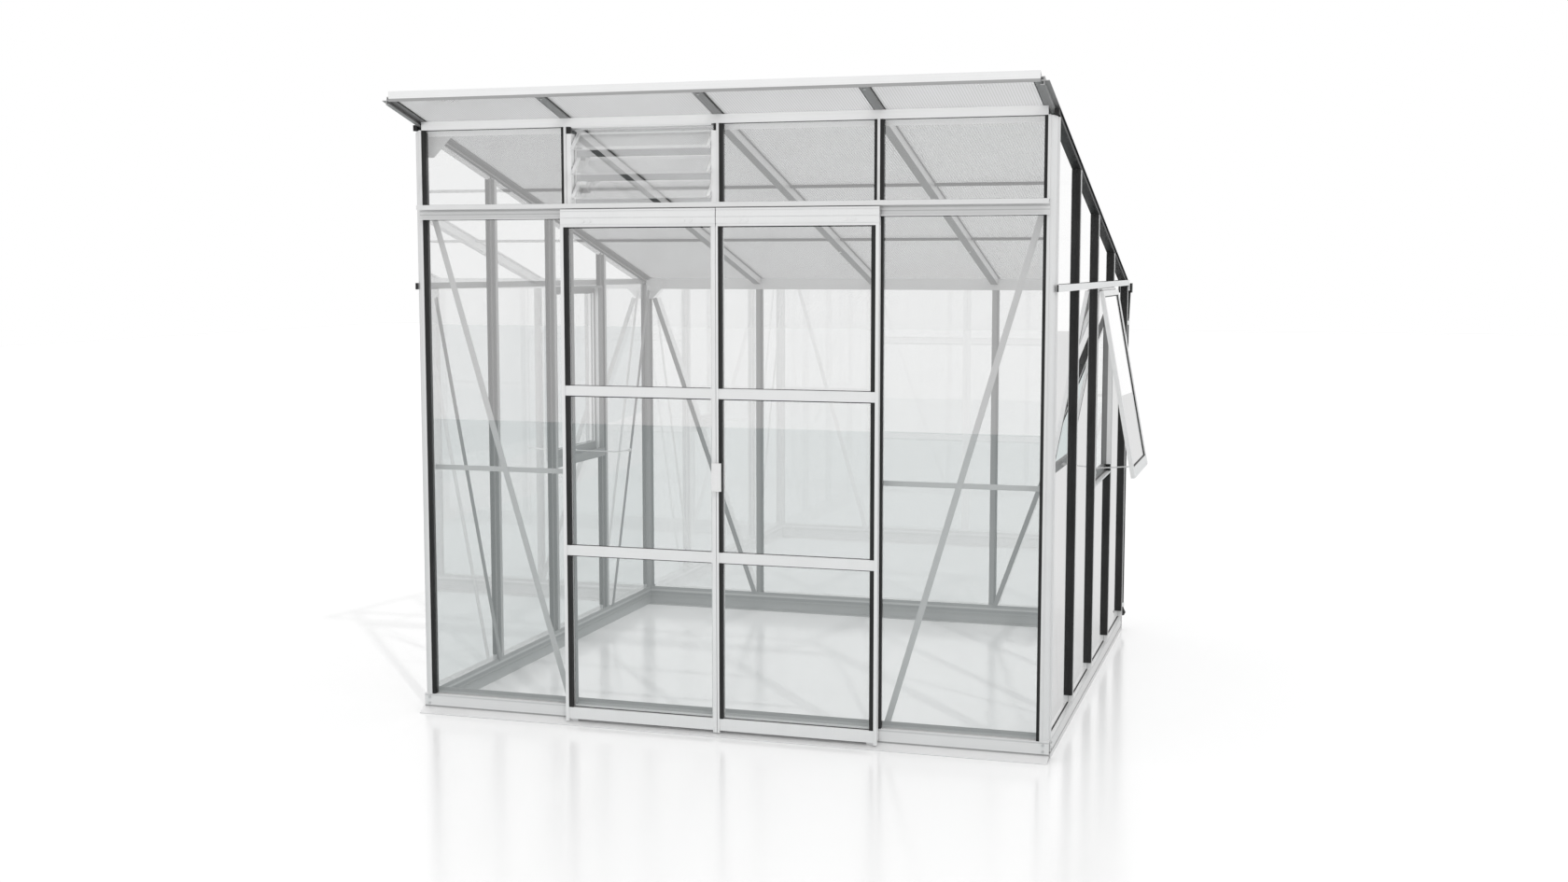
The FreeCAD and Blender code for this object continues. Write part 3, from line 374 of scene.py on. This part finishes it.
def pane_glass(name, dust=0.0):
    """Clear float glass: it mirrors by Fresnel on the face it is seen from, and tints slightly.

    dust is the share of a pale film on it.
    """
    tree = Tree(name)
    film = tree.noise(tree.point(), scale=14.0, detail=5.0, roughness=0.6)
    see = tree.add("BsdfTransparent")
    cloudy = tuple(channel - 0.006 for channel in CLEAR_TINT)
    clean = tuple(channel + 0.004 for channel in CLEAR_TINT)
    tree.put(see, "Color", tree.ramp(film, [(0.2, cloudy), (0.8, clean)]))
    mirror = tree.add("BsdfGlossy")
    tree.put(mirror, "Color", (1.0, 1.0, 1.0, 1))
    tree.put(mirror, "Roughness", tree.span(film, 0.002, 0.010))
    fresnel = tree.add("Fresnel")
    tree.put(fresnel, "IOR", GLASS_INDEX)
    passed = tree.math("SUBTRACT", 1.0, fresnel.outputs[0])
    grazing = tree.math("POWER", tree.add("LayerWeight").outputs["Facing"], GRAZING_POWER)
    extra = tree.math("MULTIPLY", grazing, GRAZING_GAIN)
    passed_grazing = tree.math("SUBTRACT", 1.0, extra, clamp=True)
    passed = tree.math("MULTIPLY", tree.math("MULTIPLY", passed, passed), passed_grazing)
    both_faces = tree.math("SUBTRACT", 1.0, passed)
    share = tree.math("MULTIPLY", both_faces, tree.front_faces(), clamp=True)
    # each solid pane is crossed twice, so the way out is left clear
    clear_exit = tree.add("BsdfTransparent")
    inner = tree.mix(tree.front_faces(), clear_exit.outputs[0], see.outputs[0])
    shader = tree.mix(share, inner, mirror.outputs[0])
    if dust:
        pale = tree.add("BsdfDiffuse")
        tree.put(pale, "Color", tree.ramp(film, [(0.2, grey(0.86)), (0.8, grey(0.92))]))
        shader = tree.mix(tree.math("MULTIPLY", tree.front_faces(), dust), shader, pale.outputs[0])
    return tree.finish(shader)


def twin_wall(name, haze, tone, clear, rib_tone):
    """Twin-wall polycarbonate: clear with a milky share, painted darker on the underside indoors as
    painted shade, and a darker line on the lower skin per web.
    """
    tree = Tree(name)
    clouds = tree.noise(tree.point(), scale=6.0, detail=3.0, roughness=0.5)
    x, y, z = tree.parts(tree.point())
    flute = tree.math("FRACT", tree.math("DIVIDE", tree.math("ADD", x, 4 * BAY), FLUTE))
    rise = tree.math("MULTIPLY", tree.math("SUBTRACT", z, ROOF_Z), COS)
    height = tree.math("ADD", rise, tree.math("MULTIPLY", tree.math("ADD", y, GLASS_Y), SIN))
    lower_skin = tree.math("LESS_THAN", height, SHEET / 2)
    rib = tree.math("MULTIPLY", tree.math("LESS_THAN", flute, RIB_SHARE), lower_skin)
    rib_level = tree.span(rib, 1.0, rib_tone)
    underside = tree.math("LESS_THAN", height, SKIN / 2)
    # painted shade: the milky colour is darker on the underside indoors
    indoors = tree.math("MULTIPLY", underside, tree.math("GREATER_THAN", y, -GLASS_Y))
    milk_and_shade_level = tree.math("MULTIPLY", rib_level, tree.span(indoors, 1.0, INDOOR_MILK_SHADE))
    see = tree.add("BsdfTransparent")
    clear_tint = tree.ramp(clouds, [(0.2, grey(clear - 0.01)), (0.8, grey(clear + 0.01, -0.002))])
    tree.put(see, "Color", tree.shade(clear_tint, rib_level))
    skin = tree.add("BsdfPrincipled")
    milk = tree.ramp(clouds, [(0.2, grey(tone - 0.02)), (0.8, grey(tone + 0.02, -0.002))])
    tree.put(skin, "Base Color", tree.shade(milk, milk_and_shade_level))
    tree.put(skin, "Roughness", tree.span(clouds, 0.24, 0.36))
    share = tree.math("MULTIPLY", tree.front_faces(), haze)
    return tree.finish(tree.mix(share, see.outputs[0], skin.outputs[0]))


def plain_plastic(name, tone, roughness):
    """Moulded plastic with a fine grain and faint handling marks."""
    tree = Tree(name)
    grain = tree.noise(tree.point((600, 600, 600)), scale=1.0, detail=2.0, roughness=0.5)
    marks = tree.noise(tree.point(), scale=22.0, detail=4.0, roughness=0.6)
    shader = tree.add("BsdfPrincipled")
    colour = tree.ramp(marks, [(0.25, grey(tone - 0.03)), (0.75, grey(tone + 0.02))])
    tree.put(shader, "Base Color", colour)
    tree.put(shader, "Roughness", tree.span(grain, roughness - 0.06, roughness + 0.06))
    tree.put(shader, "Normal", tree.bump(grain, strength=0.08, distance=0.0003))
    return tree.finish(shader.outputs[0])


LENGTH_X, LENGTH_Y, LENGTH_Z = 0, 1, 2
PALE = 0.78
along_x = extruded("aluminium_x", LENGTH_X, PALE)
along_y = extruded("aluminium_y", LENGTH_Y, PALE)
along_z = extruded("aluminium_z", LENGTH_Z, PALE)
# painted shade: dark lines in the track's grooves
track_metal = extruded("aluminium_track", LENGTH_X, track_level)
# painted shade: the legs inside the glass line are painted dark
wall_bar = extruded("aluminium_wall_bar", LENGTH_Z, tone=0.70, other_tone=0.20, mask=outside_mask)
# painted shade: side bars dark inside the glass, less so on the faces that look across
side_bar = extruded("aluminium_side_bar", LENGTH_Z, tone=PALE, other_tone=0.12, mask=side_bar_mask)
# painted shade on the rails' faces that look in at the middle of the house
wall_rail = extruded("aluminium_wall_rail", LENGTH_Y, tone=PALE, other_tone=0.26, mask=outward_mask)
# painted shade on the sashes' faces that look in at the middle of the house
sash_metal = extruded("aluminium_sash", LENGTH_Z, tone=PALE, other_tone=0.24, mask=outward_mask)
# painted shade: groove lines outside and a shaded ribbed profile inside the sills
sill_x = extruded("aluminium_sill_x", LENGTH_X, sill_level)
sill_y = extruded("aluminium_sill_y", LENGTH_Y, sill_level)
# painted shade on the fascia's set-back foot
fascia_metal = extruded("aluminium_fascia", LENGTH_X, tone=0.82, other_tone=0.36, mask=fascia_shade_mask)
# painted shade: the braces off the front wall are painted darker
brace_metal = extruded("aluminium_brace", LENGTH_Z, tone=0.45, other_tone=0.20, mask=front_mask)
plate_metal = extruded("aluminium_plate", LENGTH_X, tone=0.50)
# painted shade: near black on the rafters' faces that look down
rafter_metal = extruded("aluminium_rafter", LENGTH_Y, tone=0.03, other_tone=0.38, mask=underside_shade_mask)
link_metal = extruded("aluminium_link", LENGTH_Z, tone=0.62)
clip_metal = extruded("aluminium_clip", LENGTH_Z, tone=0.80)
bolt_steel = extruded("zinc_steel", LENGTH_Z, tone=0.62, metallic=0.8, roughness=0.34)
glass = pane_glass("float_glass")
blade_glass = pane_glass("blade_glass", dust=0.24)
strip_black = black_strip("glazing_strip_black", tone=0.018)
pipe_black = black_strip("pipe_black", tone=0.014)
nylon = plain_plastic("nylon_white", tone=0.78, roughness=0.42)
handle_white = plain_plastic("handle_white", tone=0.72, roughness=0.34)

finishes = {
    "front_sill": sill_x, "rear_sill": sill_x, "side_sills": sill_y, "threshold_ramp": along_x,
    "corner_posts": wall_bar, "front_bars": wall_bar, "rear_bars": wall_bar, "side_bars": side_bar,
    "front_eaves_beam": along_x, "rear_eaves_beam": plate_metal, "door_track": track_metal,
    "front_transom": track_metal, "side_rails": wall_rail, "inner_rafters": rafter_metal,
    "left_window_frame": sash_metal, "right_window_frame": sash_metal,
    "edge_rafters": rafter_metal, "roof_cross_bars": strip_black, "roof_cappings": along_y,
    "roof_fascia": fascia_metal, "wall_braces": brace_metal, "corner_gussets": plate_metal,
    "rear_gutter": along_x, "pipe_brackets": along_z, "frame_bolts": bolt_steel,
    "louvre_frame": along_z, "window_subframes": wall_bar, "window_hinge_pins": bolt_steel,
    "front_cap_strips": strip_black, "wall_cap_strips": strip_black, "verge_strips": strip_black,
    "left_door_strips": strip_black, "right_door_strips": strip_black, "downpipes": pipe_black,
    "gutter_outlets": pipe_black, "louvre_lever": pipe_black, "louvre_link": link_metal,
    "door_handle": handle_white, "roof_sheets": glass,
}


def finish_for(name):
    """The material of a CAD node, from the list above or from its name."""
    if name in finishes:
        return finishes[name]
    if name.startswith("louvre_blade"):
        return blade_glass
    if "glass" in name:
        return glass
    if name.startswith("blade_clips"):
        return clip_metal
    if "wheel" in name:
        return nylon
    if name.endswith("_stay"):
        return link_metal
    return along_z


def lets_light_through(piece):
    """A clear piece casts no shadow and takes no part in diffuse light."""
    piece.visible_shadow = False
    piece.visible_diffuse = False


def dress_nodes():
    """Give every CAD node its material."""
    for name, node in nodes.items():
        chosen = finish_for(name)
        node.data.materials.clear()
        node.data.materials.append(chosen)
        if chosen in (glass, blade_glass):
            lets_light_through(node)


EDGE_WIDTH = 0.0007
EDGE_SEGMENTS = 2
EDGE_ANGLE = math.radians(40)


def ease_edges(names):
    """Softened edges on the metalwork, inside the CAD size."""
    for name in names:
        bevel = nodes[name].modifiers.new("edge", "BEVEL")
        bevel.width = EDGE_WIDTH
        bevel.segments = EDGE_SEGMENTS
        bevel.limit_method = "ANGLE"
        bevel.angle_limit = EDGE_ANGLE
        bevel.harden_normals = False


dress_nodes()
ease_edges((
    "corner_posts", "front_sill", "rear_sill", "side_sills", "left_door_frame", "right_door_frame",
    "left_window_frame", "right_window_frame", "rear_gutter", "front_eaves_beam", "roof_fascia",
))


# ---- pieces

def sweep(mesh, section, start, end, across, outward):
    """A closed strip: an (across, outward) section carried from start to end."""
    rings = []
    for place in (start, end):
        ring = [mesh.verts.new(place + across * a + outward * b) for a, b in section]
        rings.append(ring)
    mesh.faces.new(rings[0][::-1])
    mesh.faces.new(rings[1])
    count = len(section)
    for k in range(count):
        after = (k + 1) % count
        mesh.faces.new((rings[0][k], rings[0][after], rings[1][after], rings[1][k]))


def make_piece(name, mesh, finish, body):
    """Turn a mesh into a named piece that rides on a body."""
    bmesh.ops.recalc_face_normals(mesh, faces=mesh.faces)
    data = bpy.data.meshes.new(name)
    mesh.to_mesh(data)
    mesh.free()
    data.materials.append(finish)
    piece = bpy.data.objects.new(name, data)
    bpy.context.scene.collection.objects.link(piece)
    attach(piece, body)
    return piece


def wall_point(wall, u, v, z):
    """A point u along a wall, v outward from its glass, at height z."""
    if wall == "front":
        return Vector((u, -GLASS_Y - v, z))
    if wall == "rear":
        return Vector((u, GLASS_Y + v, z))
    if wall == "left":
        return Vector((-GLASS_X - v, u, z))
    return Vector((GLASS_X + v, u, z))


def roof_point(x, s, n):
    """A point s down the slope from the front glass and n above the sheet's underside."""
    return Vector((x, -GLASS_Y + s * COS + n * SIN, ROOF_Z - s * SIN + n * COS))


def seal_section(width, depth):
    """A soft seal: flat behind, rounded over in front."""
    return [
        (0, 0), (width, 0), (width, depth * 0.5), (width * 0.8, depth * 0.9),
        (width * 0.5, depth), (width * 0.2, depth * 0.9), (0, depth * 0.5),
    ]


# Twin-wall roof: how far its front edge stands back from the roof's front line

SHEET_SET_BACK = 0.003


def twin_wall_sheets():
    """Four sheets between the rafters, each of two skins and its webs."""
    skins = bmesh.new()
    webs = bmesh.new()
    low, high = (Vector(corner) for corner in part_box("roof_sheets"))
    edges = [low.x, -BAY, 0.0, BAY, high.x]
    slope_out = roof_point(0, 0, 1) - roof_point(0, 0, 0)
    front = ROOF_FRONT + SHEET_SET_BACK
    for k in range(4):
        left = edges[k] + (SHEET_GAP if k else 0.0)
        right = edges[k + 1] - (SHEET_GAP if k < 3 else 0.0)
        width = right - left
        plate = [(0, 0), (width, 0), (width, SKIN), (0, SKIN)]
        for n in (0.0, SHEET - SKIN):
            start = roof_point(left, front, n)
            end = roof_point(left, ROOF_REAR, n)
            sweep(skins, plate, start, end, SIDEWAYS, slope_out)
        count = int(width / FLUTE)
        pitch = (width - SKIN) / count
        web = [(0, 0), (SKIN, 0), (SKIN, SHEET - 2 * SKIN), (0, SHEET - 2 * SKIN)]
        for j in range(count + 1):
            x = left + j * pitch
            start = roof_point(x, front, SKIN)
            end = roof_point(x, ROOF_REAR, SKIN)
            sweep(webs, web, start, end, SIDEWAYS, slope_out)
    skin_finish = twin_wall("twin_wall_skin", haze=0.34, tone=0.80, clear=0.985, rib_tone=0.80)
    web_finish = twin_wall("twin_wall_web", haze=0.50, tone=0.60, clear=0.95, rib_tone=1.0)
    for name, mesh, finish in (
        ("roof_sheet_skins", skins, skin_finish),
        ("roof_sheet_webs", webs, web_finish),
    ):
        piece = make_piece(name, mesh, finish, "frame")
        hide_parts("roof_sheets")
        lets_light_through(piece)
        piece.visible_glossy = False


# Black seals under the sheets and along the heads and feet of the panes: widths, depth,
# clearance, how far a roof seal stops short, and where a door's seals start beside its meeting edge

SEAL = 0.004
SLIM_SEAL = 0.002
SEAL_DEPTH = 0.0028
CLEAR = 0.0003
ROOF_SEAL_END = 0.006
DOOR_SEAL_START = 0.024


def roof_seals():
    """Seals under the sheets: both sides of the inner rafters, the inner side of the edge ones."""
    mesh = bmesh.new()
    down = roof_point(0, 0, -1) - roof_point(0, 0, 0)
    starts = [x - RAFTER_HALF - SEAL - CLEAR for x in (-BAY, 0, BAY)]
    starts += [x + RAFTER_HALF + CLEAR for x in (-BAY, 0, BAY)]
    starts += [HALF_X - EDGE_INSET - SEAL - CLEAR, -HALF_X + EDGE_INSET + CLEAR]
    for x in starts:
        start = roof_point(x, ROOF_FRONT + ROOF_SEAL_END, -CLEAR)
        end = roof_point(x, ROOF_REAR - ROOF_SEAL_END, -CLEAR)
        sweep(mesh, seal_section(SEAL, SEAL_DEPTH), start, end, SIDEWAYS, down)
    make_piece("roof_seals", mesh, strip_black, "frame")


def seal_along(mesh, wall, u0, u1, v, z, upward=True, width=SLIM_SEAL):
    """A level seal on the glass at height z, above it or below it."""
    outward = wall_point(wall, 0, 1, 0) - wall_point(wall, 0, 0, 0)
    across = UP if upward else -UP
    start = wall_point(wall, u0, v + CLEAR, z)
    end = wall_point(wall, u1, v + CLEAR, z)
    sweep(mesh, seal_section(width, SEAL_DEPTH), start, end, across, outward)


def pane_seals():
    """Level seals on the fixed panes; the front wall's second bay has the louvre on top instead."""
    mesh = bmesh.new()
    front_lines = [-HALF_X + k * BAY for k in range(5)]
    side_lines = [-HALF_Y + k * SIDE_BAY for k in range(5)]
    for k in range(4):
        u0 = front_lines[k] + STRIP_EDGE
        u1 = front_lines[k + 1] - STRIP_EDGE
        if k != 1:
            seal_along(mesh, "front", u0, u1, 0, BEAM_FOOT - CLEAR, upward=False)
            seal_along(mesh, "front", u0, u1, 0, TRACK_TOP + CLEAR)
        if k in (0, 3):
            seal_along(mesh, "front", u0, u1, 0, TRACK_FOOT - CLEAR, upward=False)
        seal_along(mesh, "rear", u0, u1, 0, SILL_TOP + CLEAR)
        seal_along(mesh, "rear", u0, u1, 0, REAR_BEAM_FOOT - CLEAR, upward=False)
        for wall in ("left", "right"):
            u0 = side_lines[k] + STRIP_EDGE
            u1 = side_lines[k + 1] - STRIP_EDGE
            seal_along(mesh, wall, u0, u1, 0, SILL_TOP + CLEAR)
    make_piece("pane_seals", mesh, strip_black, "frame")


def door_seals(name, side):
    """Level seals on a door leaf's panes; side is -1 for the left leaf, 1 for the right."""
    mesh = bmesh.new()
    near = side * (DOOR_MEET + DOOR_SEAL_START)
    far = side * (DOOR_MEET + DOOR_WIDTH - DOOR_STILE)
    for z0, z1 in DOOR_PANES:
        seal_along(mesh, "front", near, far, DOOR_GLASS_FACE, z0 + CLEAR)
        seal_along(mesh, "front", near, far, DOOR_GLASS_FACE, z1 - CLEAR, upward=False, width=SEAL)
    make_piece(name + "_seals", mesh, strip_black, name)


def window_seals(name, wall, opening):
    """A seal round the window's glass, turned with the leaf about its hinge."""
    mesh = bmesh.new()
    u0, u1, z0, z1 = WINDOW_GLASS
    v = WINDOW_GLASS_FACE + CLEAR
    outward = wall_point(wall, 0, 1, 0) - wall_point(wall, 0, 0, 0)
    along = wall_point(wall, 1, 0, 0) - wall_point(wall, 0, 0, 0)
    seal = seal_section(SEAL, SEAL_DEPTH)
    for start, end, across in (
        ((u0, z0), (u1, z0), UP), ((u0, z1), (u1, z1), -UP),
        ((u0, z0), (u0, z1), along), ((u1, z0), (u1, z1), -along),
    ):
        places = [wall_point(wall, u, v, z) for u, z in (start, end)]
        sweep(mesh, seal, places[0], places[1], across, outward)
    pivot = wall_point(wall, 0, WINDOW_PIVOT[0], WINDOW_PIVOT[1])
    turn = Matrix.Rotation(opening, 4, outward.cross(UP))
    about_hinge = Matrix.Translation(pivot) @ turn @ Matrix.Translation(-pivot)
    bmesh.ops.transform(mesh, matrix=about_hinge, verts=mesh.verts)
    make_piece(name + "_seals", mesh, strip_black, name)


# Plugs on the side rails' front ends, and how far inside RAIL_FACE they start

PLUG_DEPTH = 0.005
PLUG_SHOULDER = 0.004
PLUG_ROUND = 0.002
PLUG_LENGTH = 0.010
PLUG_OVERLAP = 0.0004


def rail_end_caps():
    """Black plugs on the front ends of the two side rails."""
    mesh = bmesh.new()
    low, high = RAIL_Z
    tall = high - low
    cap = [
        (0, 0), (PLUG_SHOULDER, 0), (PLUG_DEPTH, PLUG_ROUND),
        (PLUG_DEPTH, tall - PLUG_ROUND), (PLUG_SHOULDER, tall), (0, tall),
    ]
    for wall in ("left", "right"):
        outward = wall_point(wall, 0, 1, 0) - wall_point(wall, 0, 0, 0)
        start = wall_point(wall, -GLASS_Y - CLEAR, RAIL_FACE - PLUG_OVERLAP, low)
        end = wall_point(wall, -GLASS_Y - PLUG_LENGTH, RAIL_FACE - PLUG_OVERLAP, low)
        sweep(mesh, cap, start, end, outward, UP)
    make_piece("rail_end_caps", mesh, strip_black, "frame")


twin_wall_sheets()
roof_seals()
pane_seals()
door_seals("left_door", -1)
door_seals("right_door", 1)
window_seals("left_window", "left", 0.0)
window_seals("right_window", "right", RIGHT_WINDOW_OPEN)
rail_end_caps()


# ---- studio

FLOOR_NEAR = -13.6
FLOOR_FAR = 42.0
FLOOR_SIDE = 26.0
FLOOR_Z = -0.0005
FLOOR_ROUGHNESS = 0.16
MIRRORED_FLOOR = (0.575, 0.62, 0.62, 1)
MIRRORED_FLOOR_SIDE = (0.42, 0.47, 0.48, 1)
MIRRORED_FLOOR_RIGHT = (0.67, 0.67, 0.67, 1)
SIDE_CARD_X = 3.2
RIGHT_CARD_START = 0.03
RIGHT_CARD_SPREAD = 0.15

SUN_STRENGTH = 0.60
SUN_WIDTH = math.radians(1.5)
SUN_DIRECTION = (-0.59, 0.73, -1.0)
SKY_STRENGTH = 1.0

CAMERA_PLACE = (2.1771, -7.503, 1.8043)
CAMERA_PITCH = math.radians(84.31)
CAMERA_TURN = math.radians(17.0)
FOCAL_LENGTH = 40.14
SENSOR_WIDTH = 36.0
CLIP_END = 200.0
TRANSPARENT_BOUNCES = 64
ALL_BOUNCES = 14


def floor_material():
    """Painted reflection: a pale floor that glossy rays see as darker cards, three tones by place on the
    floor.
    """
    tree = Tree("studio_floor")
    cloud = tree.noise(tree.point(), scale=0.6, detail=2.0, roughness=0.5)
    pale = tree.add("BsdfPrincipled")
    tree.put(pale, "Base Color", tree.ramp(cloud, [(0.2, grey(0.925)), (0.8, grey(0.935))]))
    tree.put(pale, "Roughness", FLOOR_ROUGHNESS)
    card = tree.add("BsdfDiffuse")
    tree.put(card, "Color", MIRRORED_FLOOR)
    side_card = tree.add("BsdfDiffuse")
    tree.put(side_card, "Color", MIRRORED_FLOOR_SIDE)
    right_card = tree.add("BsdfDiffuse")
    tree.put(right_card, "Color", MIRRORED_FLOOR_RIGHT)
    x, y, _ = tree.parts(tree.point())
    beyond = tree.math("SUBTRACT", x, GLASS_X)
    edge = tree.math("MULTIPLY", tree.math("ADD", y, GLASS_Y), RIGHT_CARD_SPREAD)
    beside = tree.math("LESS_THAN", beyond, tree.math("ADD", edge, RIGHT_CARD_START))
    right = tree.math("MULTIPLY", tree.math("GREATER_THAN", beyond, 0.0), beside)
    past_card = tree.math("GREATER_THAN", x, SIDE_CARD_X)
    far_side = tree.math("MULTIPLY", past_card, tree.math("GREATER_THAN", y, -GLASS_Y))
    plain_cards = tree.mix(far_side, card.outputs[0], side_card.outputs[0])
    cards = tree.mix(right, plain_cards, right_card.outputs[0])
    # painted reflection: glossy rays see darker cards instead of the pale floor
    mirrored = tree.add("LightPath").outputs["Is Glossy Ray"]
    return tree.finish(tree.mix(mirrored, pale.outputs[0], cards))


def studio():
    """A pale floor, an even white surround and one soft key light."""
    data = bpy.data.meshes.new("studio_floor")
    corners = [
        (-FLOOR_SIDE, FLOOR_NEAR, FLOOR_Z), (FLOOR_SIDE, FLOOR_NEAR, FLOOR_Z),
        (FLOOR_SIDE, FLOOR_FAR, FLOOR_Z), (-FLOOR_SIDE, FLOOR_FAR, FLOOR_Z),
    ]
    data.from_pydata(corners, [], [(0, 1, 2, 3)])
    data.materials.append(floor_material())
    floor = bpy.data.objects.new("studio_floor", data)
    bpy.context.scene.collection.objects.link(floor)

    world = bpy.data.worlds.new("studio_world")
    bpy.context.scene.world = world
    world.use_nodes = True
    background = world.node_tree.nodes["Background"]
    background.inputs["Color"].default_value = (1.0, 1.0, 1.0, 1.0)
    background.inputs["Strength"].default_value = SKY_STRENGTH

    sun = bpy.data.lights.new("soft_key", "SUN")
    sun.energy = SUN_STRENGTH
    sun.angle = SUN_WIDTH
    lamp = bpy.data.objects.new("soft_key", sun)
    lamp.rotation_euler = Vector(SUN_DIRECTION).to_track_quat("-Z", "Y").to_euler()
    bpy.context.scene.collection.objects.link(lamp)


studio()

scene = bpy.context.scene
scene.view_settings.view_transform = "Standard"
scene.view_settings.look = "None"
scene.cycles.transparent_max_bounces = TRANSPARENT_BOUNCES
scene.cycles.max_bounces = ALL_BOUNCES

lens = bpy.data.cameras.new("camera")
lens.lens = FOCAL_LENGTH
lens.sensor_width = SENSOR_WIDTH
lens.clip_end = CLIP_END
camera = bpy.data.objects.new("camera", lens)
camera.location = CAMERA_PLACE
camera.rotation_euler = (CAMERA_PITCH, 0.0, CAMERA_TURN)
scene.collection.objects.link(camera)
scene.camera = camera
